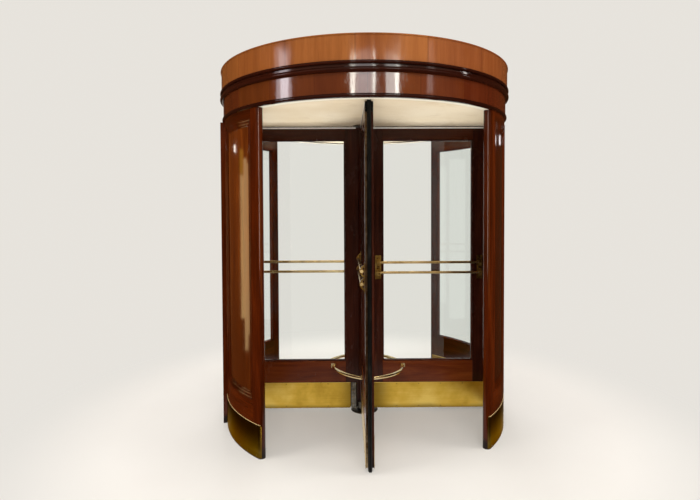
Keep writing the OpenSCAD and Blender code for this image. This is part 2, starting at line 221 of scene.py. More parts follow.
def scuff(tree, place, colour, rough, look):  # dark, dull kicks and mop marks near the floor
    ragged = times(tree, cloud(tree, place["coords"], 45.0, 3.0), look["ragged"])
    low = fade(tree, calc(tree, "SUBTRACT", place["z"], ragged), look["top"], look["bottom"])
    colour = tinge(tree, colour, low, look["amount"], look["colour"])
    return colour, plus(tree, rough, times(tree, low, 0.35), clamp=True)


wallTimber = {
    "way": "up", "dark": srgb(40, 11, 1), "mid": srgb(69, 22, 2), "light": srgb(100, 38, 6),
    "rough": 0.09, "smears": 0.05, "wave": 1.2,
}
panelTimber = {
    "way": "up", "dark": srgb(62, 22, 3), "mid": srgb(98, 44, 9), "light": srgb(136, 68, 18),
    "rough": 0.06, "smears": 0.04, "wave": 1.0, "shift": (3.1, 0.4, 0.0), "weights": (0.34, 0.16, 0.50),
}
railTimber = dict(wallTimber, way="round")
noseTimber = dict(wallTimber, dark=srgb(38, 10, 1), mid=srgb(66, 20, 2), light=srgb(96, 36, 6))
# painted shade: a darker copy of the panel timber for the right wall
shadedRightPanelTimber = dict(panelTimber, dark=srgb(38, 11, 1), mid=srgb(62, 20, 3), light=srgb(88, 34, 6))
darkTimber = {
    "way": "round", "dark": srgb(24, 7, 3), "mid": srgb(38, 12, 6), "light": srgb(56, 20, 9),
    "rough": 0.07, "smears": 0.04, "wave": 0.3, "spread": 0.26, "pores": 0.2,
}
friezeTimber = {
    "way": "up", "dark": srgb(96, 48, 20), "mid": srgb(130, 73, 33), "light": srgb(162, 100, 50),
    "rough": 0.07, "smears": 0.05, "wave": 2.8, "weights": (0.24, 0.12, 0.64), "spread": 0.20, "pores": 0.3,
}
lowerFriezeTimber = dict(
    friezeTimber, dark=srgb(58, 22, 7), mid=srgb(82, 35, 12), light=srgb(104, 50, 20), rough=0.05, wave=1.5)
wingTimber = {
    "way": "up", "dark": srgb(34, 11, 6), "mid": srgb(63, 26, 15), "light": srgb(90, 42, 24),
    "rough": 0.17, "smears": 0.12, "wave": 0.7, "darker": (0.5, 1.7, 0.5),
}
wingRailTimber = dict(
    wingTimber, darker=(1.6, 1.9, 0.74), dark=srgb(68, 25, 8), mid=srgb(110, 48, 18), light=srgb(142, 72, 30))
varnish = {"wall": 0.24, "frieze": 0.30, "moulding": 0.34, "wing": 0.20}  # specular levels
upperDarkTone = srgb(26, 11, 7)

# Where the sunk panels are in the walls, how far from the walls' middle their faces lie, and their painted
# shade toward the foot
sunkPanel = {
    "foot": 0.362, "head": 2.141, "deep": 0.021, "edge": 0.0005, "shading": (0.2, 2.1), "shadeShare": 0.75,
}

# Kicks and mop marks: where they thin out, where they are full, how ragged and how strong
wallScuffs = {"top": 0.012, "bottom": 0.0, "ragged": 0.02, "amount": 0.85, "colour": srgb(18, 10, 7)}
footScuffs = {"top": 0.06, "bottom": 0.01, "ragged": 0.05, "amount": 0.9, "colour": srgb(14, 9, 7)}
wingScuffs = {"top": 0.10, "bottom": 0.02, "ragged": 0.08, "amount": 0.7, "colour": srgb(16, 11, 9)}


def wallMaterial(name, panelLook, panelShadedFoot):
    made, tree, shader = newMaterial(name)
    place = placeParts(tree)
    upright = timber(tree, place, wallTimber)
    level = timber(tree, place, railTimber)
    panel = timber(tree, place, panelLook)
    foot, head, deep, edge = (sunkPanel[key] for key in ("foot", "head", "deep", "edge"))
    # painted shade: the sunk panels darken toward the foot
    shade = fade(tree, place["z"], *sunkPanel["shading"])  # the panels are darker toward the foot
    shadedFootColour = blend(tree, sunkPanel["shadeShare"], panel[0], panelShadedFoot)
    panelColour = blend(tree, shade, shadedFootColour, panel[0])
    low = fade(tree, place["z"], foot + edge, foot - edge)
    high = fade(tree, place["z"], head - edge, head + edge)
    rails = plus(tree, low, high, clamp=True)
    fromMiddle = calc(tree, "ABSOLUTE", calc(tree, "SUBTRACT", place["radius"], door["wallMiddle"]))
    offPanel = fade(tree, fromMiddle, deep - edge, deep + edge)
    colour = blend(tree, rails, upright[0], level[0])
    colour = blend(tree, offPanel, panelColour, colour)
    colour, rough = scuff(tree, place, colour, upright[1], wallScuffs)
    shader.inputs["Specular IOR Level"].default_value = varnish["wall"]
    finishMaterial(tree, shader, colour, rough, upright[2], varnishHeight)
    return made


def timberMaterial(name, look, marks=None, specular=varnish["wall"]):
    made, tree, shader = newMaterial(name)
    place = placeParts(tree)
    colour, rough, height = timber(tree, place, look)
    if "darker" in look:  # darker between these heights and above
        start, end, share = look["darker"]
        high = fade(tree, place["z"], start, end)
        colour = tinge(tree, colour, high, share, upperDarkTone)
    if marks:
        colour, rough = scuff(tree, place, colour, rough, marks)
    shader.inputs["Specular IOR Level"].default_value = specular
    finishMaterial(tree, shader, colour, rough, height, varnishHeight)
    return made


# Veneer leaves laid upright round a ring of this radius: their tones, and the dark joints between them
veneer = {
    "radius": 1.05, "values": (0.84, 0.34), "hues": (0.493, 0.014),
    "joint": srgb(40, 14, 6), "jointShare": 0.6, "jointEdges": (0.006, 0.002),
}


def friezeMaterial(name, look, leafWidth, start):
    made, tree, shader = newMaterial(name)
    place = placeParts(tree)
    colour, rough, height = timber(tree, place, look)
    leaves = plus(tree, times(tree, place["azimuth"], veneer["radius"] / leafWidth), start)
    leaf = calc(tree, "FLOOR", leaves)
    tint = addNode(tree, "ShaderNodeTexWhiteNoise", {"W": leaf}, noise_dimensions="1D").outputs[0]
    (darkest, values), (reddest, hues) = veneer["values"], veneer["hues"]
    value = plus(tree, darkest, times(tree, tint, values))
    hue = plus(tree, reddest, times(tree, tint, hues))
    colour = retone(tree, colour, hue, 1.0, value)
    joint = joints(tree, calc(tree, "FRACT", leaves), veneer["jointEdges"])
    colour = tinge(tree, colour, joint, veneer["jointShare"], veneer["joint"])
    shader.inputs["Specular IOR Level"].default_value = varnish["frieze"]
    finishMaterial(tree, shader, colour, rough, height, varnishHeight)
    return made


underside = {
    "height": 2.2039, "heightEdge": 0.0003, "reach": 1.034, "reachEdge": 0.0005, "rough": 0.35,
    "cream": srgb(255, 248, 232), "dirty": srgb(214, 192, 160), "dirt": (30.0, 3.0), "dirtShare": 0.3,
}


def headerBeadMaterial():  # dark varnish, with the underside painted as the ceiling is
    made, tree, shader = newMaterial("headerBeadMahogany")
    place = placeParts(tree)
    colour, rough, height = timber(tree, place, darkTimber)
    level, reach, soft, wide = (underside[key] for key in ("height", "reach", "heightEdge", "reachEdge"))
    low = fade(tree, place["z"], level + soft, level - soft)
    under = times(tree, low, fade(tree, place["radius"], reach + wide, reach - wide))
    dirt = cloud(tree, place["coords"], *underside["dirt"])
    cream = tinge(tree, underside["cream"], dirt, underside["dirtShare"], underside["dirty"])
    colour = blend(tree, under, colour, cream)
    rough = plus(tree, rough, times(tree, under, underside["rough"]))
    shader.inputs["Specular IOR Level"].default_value = varnish["moulding"]
    finishMaterial(tree, shader, colour, rough, height, varnishHeight)
    return made


wallWood = wallMaterial("wallMahogany", panelTimber, srgb(58, 19, 2))
# painted shade: the right wall is a darker copy of the left, with a darker panel foot
shadedRightWallWood = wallMaterial("shadedRightWallMahogany", shadedRightPanelTimber, srgb(46, 14, 2))
noseWood = timberMaterial("noseMahogany", noseTimber, footScuffs)
sideWood = timberMaterial("sidePostMahogany", wallTimber, footScuffs)
levelWood = timberMaterial("streetRailMahogany", railTimber, footScuffs)
ringWood = timberMaterial("darkMouldingMahogany", darkTimber, specular=varnish["moulding"])
panelTrimWood = timberMaterial(
    "panelMouldingMahogany", dict(wallTimber, light=srgb(92, 36, 10)), specular=varnish["moulding"])
upperFriezeWood = friezeMaterial("upperFriezeMahogany", friezeTimber, 0.42, 0.3)
lowerFriezeWood = friezeMaterial("lowerFriezeMahogany", lowerFriezeTimber, 0.31, 0.6)
wingWood = timberMaterial("wingMahoganyUpright", wingTimber, wingScuffs, varnish["wing"])
acrossWood = timberMaterial(
    "wingMahoganyAcross", dict(wingRailTimber, way=door["wingTurn"]), wingScuffs, varnish["wing"])
alongWood = timberMaterial(
    "wingMahoganyAlong", dict(wingRailTimber, way=door["wingTurn"] - 90), wingScuffs, varnish["wing"])
beadWood = headerBeadMaterial()
print("timber made")


# How metal is brushed and worn, with its painted highlights: its noises, its tones, and how strong and how
# wide each kind of dirt and highlight is
wearAndGlints = {
    "patches": (4.0, 0.6), "brushing": (90.0, 3.0, 0.6), "brushed": 0.38, "brushHeight": 0.08,
    "steps": (0.34, 0.50, 0.66),
    "specks": (2.0, 0.7), "speckEdge": 0.05, "speckShare": 0.8, "speckRough": 0.25,
    "postRagged": -0.10, "postEdge": 0.03, "postShare": 0.75,
    "footRagged": -0.05, "footEdge": 0.02, "footShare": 0.7,
    "rubbedHighlightEdges": (0.006, 0.002), "rubbedHighlightShare": 0.8, "glintEdges": (0.004, 0.002), "glintShare": 0.8,
}


def brassMaterial(name, look):
    made, tree, shader = newMaterial(name)
    place = placeParts(tree)
    patches = cloud(tree, place["coords"], look["patchScale"], *wearAndGlints["patches"])
    brushed = cloud(tree, stretch(tree, place["coords"], look["brush"]), *wearAndGlints["brushing"])
    share = look.get("brushed", wearAndGlints["brushed"])
    tone = plus(tree, times(tree, patches, 1 - share), times(tree, brushed, share))
    steps = zip(wearAndGlints["steps"], (look["dark"], look["mid"], look["light"]))
    colour = colourSteps(tree, tone, list(steps))
    specks = cloud(tree, place["coords"], look["speckScale"], *wearAndGlints["specks"])
    spotted = fade(tree, specks, look["speckFrom"], look["speckFrom"] + wearAndGlints["speckEdge"])
    colour = tinge(tree, colour, spotted, wearAndGlints["speckShare"], look["spot"])
    rough = plus(tree, look["rough"], times(tree, patches, look["roughSpread"]))
    rough = plus(tree, rough, times(tree, spotted, wearAndGlints["speckRough"]), clamp=True)
    if "dirtRadius" in look:  # dull and olive toward the post
        ragged = plus(tree, place["radius"], times(tree, patches, wearAndGlints["postRagged"]))
        near = fade(tree, ragged, look["dirtRadius"], wearAndGlints["postEdge"])
        colour = tinge(tree, colour, near, wearAndGlints["postShare"], look["spot"])
    if "tarnish" in look:  # dull and olive all over
        colour = blend(tree, look["tarnish"], colour, look["spot"])
    if "edges" in look:  # rubbed bright and painted highlight along the top edge, dark at the foot
        top, foot = look["edges"]
        rubbed = fade(tree, place["z"], *[top - down for down in wearAndGlints["rubbedHighlightEdges"]])
        colour = tinge(tree, colour, rubbed, wearAndGlints["rubbedHighlightShare"], look["light"])
        ragged = plus(tree, place["z"], times(tree, patches, wearAndGlints["footRagged"]))
        grimy = fade(tree, ragged, foot + wearAndGlints["footEdge"], foot - wearAndGlints["footEdge"])
        colour = tinge(tree, colour, grimy, wearAndGlints["footShare"], look["spot"])
    shader.inputs["Metallic"].default_value = look.get("metallic", 1.0)
    if "glint" in look:  # painted highlight: the outer plates' top edge is bright from all sides
        line = fade(tree, place["z"], *[look["edges"][0] - down for down in wearAndGlints["glintEdges"]])
        colour = blend(tree, line, colour, look["glint"])
        metal = calc(tree, "SUBTRACT", 1.0, times(tree, line, wearAndGlints["glintShare"]))
        tree.links.new(metal, shader.inputs["Metallic"])
    shader.inputs["Specular Tint"].default_value = look.get("grazing", (1.0, 1.0, 1.0, 1.0))
    height = plus(tree, times(tree, patches, look["dents"]), times(tree, brushed, wearAndGlints["brushHeight"]))
    finishMaterial(tree, shader, colour, rough, height)
    return made


plateLook = {
    "dark": srgb(182, 144, 50), "mid": srgb(220, 180, 74), "light": srgb(242, 208, 108),
    "spot": srgb(92, 70, 18),
    "patchScale": 3.2, "brush": (0.05, 0.05, 1.0), "speckScale": 46.0, "speckFrom": 0.76, "brushed": 0.14,
    "rough": 0.24, "roughSpread": 0.10, "dents": 0.4,
}
wingPlateBrass = brassMaterial("kickPlateBrass", dict(plateLook, edges=(0.220, 0.010), dirtRadius=0.20))
drumPlateBrass = brassMaterial("drumPlateBrass", dict(plateLook, edges=(0.210, 0.006), tarnish=0.75))
outerPlateBrass = brassMaterial("outerPlateBrass", dict(
    plateLook, dark=srgb(104, 78, 26), mid=srgb(146, 112, 44), light=srgb(206, 172, 96),
    edges=(0.218, 0.004), tarnish=0.75, rough=0.30, grazing=srgb(214, 178, 96), glint=srgb(226, 196, 140)))
barBrass = brassMaterial("pushBarBrass", {
    "dark": srgb(168, 138, 86), "mid": srgb(208, 180, 126), "light": srgb(240, 218, 172),
    "spot": srgb(84, 62, 34),
    "patchScale": 9.0, "brush": (1.0, 1.0, 0.2), "speckScale": 60.0, "speckFrom": 0.74,
    "rough": 0.15, "roughSpread": 0.16, "dents": 0.15,
})
braceBrass = brassMaterial("braceBrass", {
    "dark": srgb(214, 184, 128), "mid": srgb(238, 216, 168), "light": srgb(252, 240, 210),
    "spot": srgb(110, 84, 46),
    "patchScale": 12.0, "brush": (1.0, 1.0, 0.2), "speckScale": 60.0, "speckFrom": 0.76,
    "rough": 0.16, "roughSpread": 0.12, "dents": 0.1,
})
bracketBrass = brassMaterial("bracketBrass", {
    "dark": srgb(88, 64, 26), "mid": srgb(140, 108, 52), "light": srgb(192, 160, 96),
    "spot": srgb(50, 36, 16),
    "patchScale": 22.0, "brush": (1.0, 1.0, 0.2), "speckScale": 80.0, "speckFrom": 0.70,
    "rough": 0.28, "roughSpread": 0.18, "dents": 0.2,
})
agedSteel = brassMaterial("agedSteel", {
    "dark": srgb(70, 66, 60), "mid": srgb(112, 108, 100), "light": srgb(164, 160, 150),
    "spot": srgb(44, 34, 26),
    "patchScale": 26.0, "brush": (1.0, 1.0, 0.1), "speckScale": 70.0, "speckFrom": 0.66,
    "rough": 0.34, "roughSpread": 0.22, "dents": 0.3,
})
screwBrass = brassMaterial("screwBrass", {
    "dark": srgb(92, 68, 28), "mid": srgb(150, 118, 58), "light": srgb(206, 176, 108),
    "spot": srgb(40, 30, 16),
    "patchScale": 60.0, "brush": (1.0, 1.0, 1.0), "speckScale": 200.0, "speckFrom": 0.68,
    "rough": 0.30, "roughSpread": 0.2, "dents": 0.1,
})


def rubberMaterial():
    made, tree, shader = newMaterial("blackRubber")
    place = placeParts(tree)
    rubbed = cloud(tree, stretch(tree, place["coords"], (1, 1, 0.3)), 30.0, 4.0, 0.65)
    tones = [(0.30, srgb(6, 6, 5)), (0.55, srgb(13, 12, 10)), (0.75, srgb(26, 24, 21))]
    colour = colourSteps(tree, rubbed, tones)
    worn = fade(tree, place["radius"], door["wingTip"] - 0.006, door["wingTip"])
    colour = tinge(tree, colour, worn, fade(tree, rubbed, 0.5, 0.8), srgb(34, 32, 29))
    rough = plus(tree, 0.50, times(tree, rubbed, 0.3))
    shader.inputs["Specular IOR Level"].default_value = 0.22
    finishMaterial(tree, shader, colour, rough, rubbed, 0.001)
    return made


def bristleMaterial():
    made, tree, shader = newMaterial("brushHair")
    place = placeParts(tree)
    strands = cloud(tree, stretch(tree, place["coords"], (1, 1, 0.1)), 300.0, 2.0)
    colour = colourSteps(tree, strands, [(0.35, srgb(7, 6, 5)), (0.65, srgb(24, 21, 17))])
    rough = plus(tree, 0.55, times(tree, strands, 0.2))
    finishMaterial(tree, shader, colour, rough, strands, 0.0004)
    return made


def glassMaterial(name, tint):
    made, tree, shader = newMaterial(name)
    place = placeParts(tree)
    film = cloud(tree, stretch(tree, place["coords"], (1, 1, 0.5)), 3.0, 4.0, 0.6)
    tree.links.new(times(tree, fade(tree, film, 0.5, 0.8), 0.05), shader.inputs["Roughness"])
    shader.inputs["Base Color"].default_value = tint
    shader.inputs["Transmission Weight"].default_value = 1.0
    shader.inputs["IOR"].default_value = 1.45
    ray = addNode(tree, "ShaderNodeLightPath")  # the lamps shine through without a black shadow
    clear = addNode(tree, "ShaderNodeBsdfTransparent", {0: (0.93, 0.96, 0.95, 1)})
    mixShaders(tree, ray.outputs["Is Shadow Ray"], shader, clear)
    return made


# Cream paint with its stains, greasy round the post, and painted shade along its rim
paint = {
    "tones": [(0.35, srgb(232, 212, 180)), (0.65, srgb(244, 228, 202))], "shades": (2.4, 3.0),
    "stain": srgb(196, 168, 128), "stains": (7.0, 5.0, 0.6, 0.6),
    "stainEdges": (0.52, 0.72), "stainShare": 0.22,
    "grease": srgb(112, 84, 56), "greaseEdges": (0.42, 0.03), "greaseRagged": 0.12, "greaseShare": 0.6,
    "rim": srgb(140, 108, 74), "rimEdges": (0.955, 0.992), "rimShare": 0.5,
    "speckles": (60.0, 3.0), "rough": 0.42, "roughSpread": 0.2, "specular": 0.3, "bump": 0.0003,
}


def ceilingMaterial():
    made, tree, shader = newMaterial("creamCeilingPaint")
    place = placeParts(tree)
    soft = cloud(tree, place["coords"], *paint["shades"])
    speckle = cloud(tree, place["coords"], *paint["speckles"])
    colour = colourSteps(tree, soft, paint["tones"])
    stained = fade(tree, cloud(tree, place["coords"], *paint["stains"]), *paint["stainEdges"])
    colour = tinge(tree, colour, stained, paint["stainShare"], paint["stain"])
    ragged = calc(tree, "SUBTRACT", place["radius"], times(tree, speckle, paint["greaseRagged"]))
    near = fade(tree, ragged, *paint["greaseEdges"])
    colour = tinge(tree, colour, near, paint["greaseShare"], paint["grease"])
    # painted shade along the rim, where the ceiling meets the walls
    rim = fade(tree, place["radius"], *paint["rimEdges"])
    colour = tinge(tree, colour, rim, paint["rimShare"], paint["rim"])
    rough = plus(tree, paint["rough"], times(tree, speckle, paint["roughSpread"]))
    shader.inputs["Specular IOR Level"].default_value = paint["specular"]
    finishMaterial(tree, shader, colour, rough, speckle, paint["bump"])
    return made


deckBoard = {
    "width": 0.145, "gap": srgb(38, 26, 18), "gapEdges": (0.020, 0.008), "bump": 0.003,
    "tones": [(0.3, srgb(120, 90, 60)), (0.55, srgb(160, 126, 88)), (0.75, srgb(186, 152, 110))],
    "values": (0.82, 0.3), "saturation": 0.9, "fibres": (40.0, 4.0, 0.6, 0.8), "along": 0.06, "shift": 9.0,
    "dust": srgb(150, 142, 130), "dusting": (4.0, 4.0), "dustEdges": (0.4, 0.7), "dustShare": 0.4,
    "rough": 0.7, "roughSpread": 0.15, "fibreHeight": 0.2,
}


def deckMaterial():
    made, tree, shader = newMaterial("deckBoards")
    place = placeParts(tree)
    boards = calc(tree, "DIVIDE", place["y"], deckBoard["width"])
    board = calc(tree, "FLOOR", boards)
    tint = addNode(tree, "ShaderNodeTexWhiteNoise", {"W": board}, noise_dimensions="1D").outputs[0]
    offset = addNode(tree, "ShaderNodeCombineXYZ", {0: times(tree, tint, deckBoard["shift"])}).outputs[0]
    shifted = addVectors(tree, place["coords"], offset)
    fibres = cloud(tree, stretch(tree, shifted, (deckBoard["along"], 1, 1)), *deckBoard["fibres"])
    darkest, values = deckBoard["values"]
    value = plus(tree, darkest, times(tree, tint, values))
    colour = retone(tree, colourSteps(tree, fibres, deckBoard["tones"]), 0.5, deckBoard["saturation"], value)
    gap = joints(tree, calc(tree, "FRACT", boards), deckBoard["gapEdges"])
    colour = blend(tree, gap, colour, deckBoard["gap"])
    dusty = fade(tree, cloud(tree, place["coords"], *deckBoard["dusting"]), *deckBoard["dustEdges"])
    colour = tinge(tree, colour, dusty, deckBoard["dustShare"], deckBoard["dust"])
    height = calc(tree, "SUBTRACT", times(tree, fibres, deckBoard["fibreHeight"]), gap)
    rough = plus(tree, deckBoard["rough"], times(tree, fibres, deckBoard["roughSpread"]))
    finishMaterial(tree, shader, colour, rough, height, deckBoard["bump"])
    return made


rubber = rubberMaterial()
bristle = bristleMaterial()
flatGlass = glassMaterial("flatGlass", (0.95, 0.98, 0.97, 1))
curvedGlass = glassMaterial("curvedGlass", (0.94, 0.98, 0.97, 1))
creamPaint = ceilingMaterial()
deckBoards = deckMaterial()
print("metal, rubber, glass and paint made")

nodeLooks = {
    "lobby_wall_left": wallWood, "lobby_wall_right": shadedRightWallWood, "panel_mouldings": panelTrimWood,
    "nose_posts": noseWood, "side_posts": sideWood, "street_rails": levelWood, "street_glass": curvedGlass,
    "outer_kick_plates": outerPlateBrass, "inner_kick_plates": drumPlateBrass,
    "header_bead": beadWood, "lower_frieze": lowerFriezeWood, "middle_moulding": ringWood,
    "upper_frieze": upperFriezeWood, "ceiling": creamPaint, "roof_deck": deckBoards,
    "street_glazing_beads": sideWood, "wing_glazing_beads": wingWood, "centre_post": wingWood,
    "top_bearing": agedSteel, "floor_pivot": agedSteel, "post_foot": agedSteel, "hinge_straps": agedSteel,
    "braces": braceBrass,
}
for index, wing in enumerate(wingNames):
    nodeLooks.update({
        wing + "_wing_stiles": wingWood, wing + "_wing_rails": acrossWood if index % 2 else alongWood,
        wing + "_wing_glass": flatGlass, wing + "_wing_kick_plates": wingPlateBrass,
        wing + "_wing_push_bars": barBrass, wing + "_wing_bar_brackets": bracketBrass,
        wing + "_wing_sweeps": rubber,
    })
for name, finish in nodeLooks.items():
    slots = nodes[name].data.materials
    slots.clear()
    slots.append(finish)
print("finishes on", len(nodeLooks), "nodes")


# The backdrop is pale, but the varnish mirrors it deep at the sides and half deep in front
studio = {
    "pale": (0.80, 0.77, 0.72, 1), "deep": (0.055, 0.021, 0.008, 1), "front": (0.36, 0.29, 0.22, 1),
    "ambient": (1.0, 0.98, 0.95, 1), "ambientLevel": 0.56,
    "floorColour": srgb(243, 239, 234), "floorStain": srgb(180, 164, 146), "floorRadius": 16.0,
    "floorFade": (1.3, 2.6), "drumEdge": (1.06, 1.25), "floorGlow": 0.32, "mirroredGlow": 0.8,
    "mottle": (1.6, 4.0), "mottleShare": 0.12, "floorRough": 0.30, "roughSpread": 0.1, "floorSpecular": 0.4,
    "frontEdges": (-0.25, -0.6), "horizon": (0.06, 0.18), "streetEdges": (0.985, 0.95),
}


def mirroredRay(tree):  # rays thrown back by varnish or metal, not those through glass
    ray = addNode(tree, "ShaderNodeLightPath").outputs
    return times(tree, ray["Is Glossy Ray"], calc(tree, "SUBTRACT", 1.0, ray["Is Transmission Ray"]))


def backdropColour(tree, x, y, z, mirrored):
    flat = calc(tree, "SQRT", plus(tree, times(tree, x, x), times(tree, y, y)))
    toStreet = calc(tree, "DIVIDE", y, calc(tree, "MAXIMUM", flat, 0.001))
    inFront = times(tree, fade(tree, toStreet, *studio["frontEdges"]), fade(tree, z, *studio["horizon"]))
    sides = blend(tree, inFront, studio["deep"], studio["front"])
    mirrored = times(tree, mirrored, fade(tree, toStreet, *studio["streetEdges"]))
    return blend(tree, mirrored, studio["pale"], sides)


def makeWorld():
    world = bpy.data.worlds.new("studio")
    scene.world = world
    world.use_nodes = True
    tree = world.node_tree
    tree.nodes.clear()
    ray = addNode(tree, "ShaderNodeLightPath").outputs
    seen = calc(tree, "MAXIMUM", ray["Is Glossy Ray"], ray["Is Transmission Ray"])
    seen = calc(tree, "MAXIMUM", ray["Is Camera Ray"], seen)
    toward = addNode(tree, "ShaderNodeTexCoord").outputs["Generated"]
    x, y, z = addNode(tree, "ShaderNodeSeparateXYZ", {0: toward}).outputs
    soft = addNode(tree, "ShaderNodeBackground", {0: studio["ambient"], 1: studio["ambientLevel"]})
    colour = backdropColour(tree, x, y, z, mirroredRay(tree))
    plain = addNode(tree, "ShaderNodeBackground", {0: colour, 1: 1.0})
    both = addNode(tree, "ShaderNodeMixShader", {0: seen, 1: soft.outputs[0], 2: plain.outputs[0]})
    addNode(tree, "ShaderNodeOutputWorld", {0: both.outputs[0]})


def meshOf(name, bm):
    mesh = bpy.data.meshes.new(name)
    bm.to_mesh(mesh)
    bm.free()
    return mesh


def makeFloor():
    bm = bmesh.new()
    bmesh.ops.create_circle(bm, cap_ends=True, segments=96, radius=studio["floorRadius"])
    floor = bpy.data.objects.new("floor", meshOf("floor", bm))
    scene.collection.objects.link(floor)
    made, tree, shader = newMaterial("paleFloor")
    place = placeParts(tree)
    mottle = cloud(tree, place["coords"], *studio["mottle"])
    colour = tinge(tree, studio["floorColour"], mottle, studio["mottleShare"], studio["floorStain"])
    rough = plus(tree, studio["floorRough"], times(tree, mottle, studio["roughSpread"]))
    shader.inputs["Specular IOR Level"].default_value = studio["floorSpecular"]
    finishMaterial(tree, shader, colour, rough)
    ray = mirroredRay(tree)
    mirrored = times(tree, ray, fade(tree, place["radius"], *studio["drumEdge"]))
    glow = calc(tree, "MAXIMUM", mirrored, fade(tree, place["radius"], *studio["floorFade"]))
    glow = calc(tree, "MAXIMUM", glow, times(tree, ray, studio["mirroredGlow"]))
    glow = calc(tree, "MAXIMUM", glow, studio["floorGlow"])
    colour = backdropColour(tree, place["x"], place["y"], 0.0, mirrored)
    mixShaders(tree, glow, shader, addNode(tree, "ShaderNodeEmission", {0: colour, 1: 1.0}))
    floor.data.materials.append(made)


def makeLamp(name, where, target, size, power, colour, onto=None):
    data = bpy.data.lights.new(name, "AREA")
    data.shape = "RECTANGLE"
    data.size, data.size_y = size
    data.energy = power
    data.color = colour
    lamp = bpy.data.objects.new(name, data)
    lamp.location = where
    lamp.rotation_euler = (Vector(target) - Vector(where)).to_track_quat("-Z", "Y").to_euler()
    lamp.visible_camera = lamp.visible_transmission = False
    lamp.visible_glossy = onto is not None
    lamp.visible_diffuse = onto is None
    if onto is not None:  # this lamp only shows in the varnish or metal of the pieces given
        seenIn = bpy.data.collections.new(name + "Receivers")
        for piece in onto:
            seenIn.objects.link(piece)
        lamp.light_linking.receiver_collection = seenIn
    scene.collection.objects.link(lamp)
    return lamp


# The camera that fits the photograph: metres and degrees
photoView = {
    "place": (-0.4125, -3.8637, 1.571), "turn": -4.520, "tilt": 88.413, "roll": -0.250,
    "sensor": 36.0, "lens": 25.66, "shiftY": -0.0387, "clipStart": 0.05,
}


def makeCamera():
    data = bpy.data.cameras.new("photoView")
    data.sensor_width = photoView["sensor"]
    data.lens = photoView["lens"]
    data.shift_y = photoView["shiftY"]
    data.clip_start = photoView["clipStart"]
    camera = bpy.data.objects.new("photoView", data)
    place = Matrix.Translation(photoView["place"])
    for key, axis in (("turn", "Z"), ("tilt", "X"), ("roll", "Z")):
        place = place @ Matrix.Rotation(math.radians(photoView[key]), 4, axis)
    camera.matrix_world = place
    scene.collection.objects.link(camera)
    scene.camera = camera


softLamps = (  # name, place, what it points at, width and height, watts, colour
    ("leftSoftbox", (-5.2, -1.9, 3.3), (-0.5, -0.4, 1.6), (2.8, 2.4), 160, (1.0, 0.98, 0.94)),
    ("rightSoftbox", (5.2, -1.9, 3.3), (0.5, -0.4, 1.6), (2.8, 2.4), 160, (1.0, 0.98, 0.94)),
    ("frontSoftbox", (0.1, -4.2, 5.6), (0, -0.5, 0.2), (3.4, 2.0), 130, (1.0, 0.98, 0.94)),
    ("overheadSoftbox", (0.0, 0.4, 5.4), (0, 0, 0.0), (3.4, 2.6), 70, (1.0, 0.98, 0.94)),
    ("streetSoftbox", (0.4, 4.8, 3.0), (0, 0.4, 1.2), (3.0, 2.4), 110, (0.97, 0.98, 1.0)),
    ("streetCeilingFill", (0.0, 2.9, 0.05), (0, 2.9, 2.0), (2.6, 0.9), 200, (1.0, 0.98, 0.94)),
    ("frontCeilingFill", (-0.1, -2.6, 0.05), (-0.1, -2.6, 2.0), (1.6, 0.8), 32, (1.0, 0.98, 0.94)),
)


makeWorld()
makeFloor()
makeCamera()
for name, where, target, size, power, colour in softLamps:
    makeLamp(name, where, target, size, power, colour)
wash = makeLamp(
    "ceilingWash", (0.0, 0.9, 0.4), (0.0, 0.9, 2.0), (2.0, 0.8), 30, (1.0, 0.98, 0.94), [nodes["ceiling"]])
wash.visible_diffuse = True
wash.visible_glossy = False
wash.light_linking.blocker_collection = wash.light_linking.receiver_collection
print("studio set up")


def makePiece(name, bm, body, material, sharp=35):
    bmesh.ops.recalc_face_normals(bm, faces=bm.faces)
    mesh = meshOf(name, bm)
    mesh.shade_smooth()
    mesh.set_sharp_from_angle(angle=math.radians(sharp))
    mesh.materials.append(material)
    piece = bpy.data.objects.new(name, mesh)
    scene.collection.objects.link(piece)
    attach(piece, body)
    return piece


def loft(bm, rings):  # a closed solid through rings of points
    for first, second in zip(rings, rings[1:]):
        for i in range(len(first)):
            k = (i + 1) % len(first)
            bm.faces.new((first[i], first[k], second[k], second[i]))
    bm.faces.new(list(reversed(rings[0])))
    bm.faces.new(rings[-1])


def prism(bm, outline, low, high, place):  # an outline drawn up between two heights
    loft(bm, [[bm.verts.new(place @ Vector((x, y, z))) for x, y in outline] for z in (low, high)])


# How far the corners are rounded, what is welded and made flat before, and from what angle a corner counts
arris = {"timber": 0.0016, "plate": 0.0006, "weld": 0.00002, "flat": 0.5, "corner": 40}


